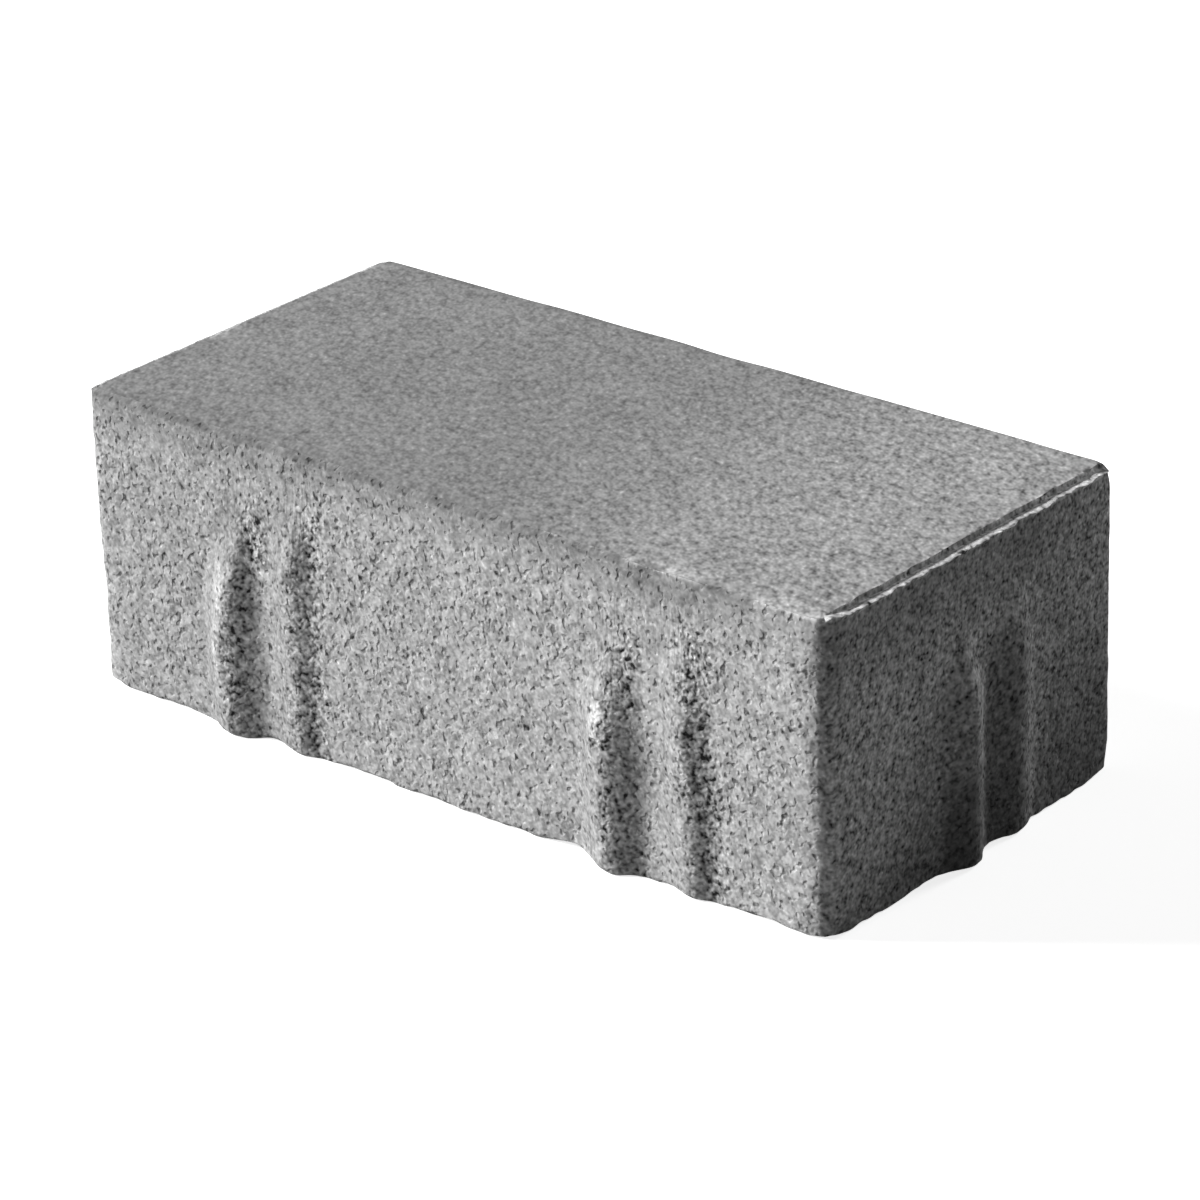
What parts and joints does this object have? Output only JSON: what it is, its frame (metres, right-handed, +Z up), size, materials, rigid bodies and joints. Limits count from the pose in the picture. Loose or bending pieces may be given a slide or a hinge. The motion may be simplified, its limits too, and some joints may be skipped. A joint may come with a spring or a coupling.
{
  "type": "permeable concrete paver",
  "caption": "Rectangular concrete paver whose walls carry tall and low spacer ribs, so that open joints are left between pavers for rain to drain through.",
  "frame": {"origin": "middle of the bottom face, so the paver lies on the plane z = 0", "axes": "+X along the length, +Y across the width, +Z up through the walking surface"},
  "size_m": [0.2386, 0.1186, 0.08],
  "materials": {
    "concrete": "plain grey dry-cast concrete: fine sandy face on top, coarser open-pored walls with vertical drag marks, unpainted and matt"
  },
  "bodies": {
    "root": {"paver": "concrete"}
  },
  "joints": []
}
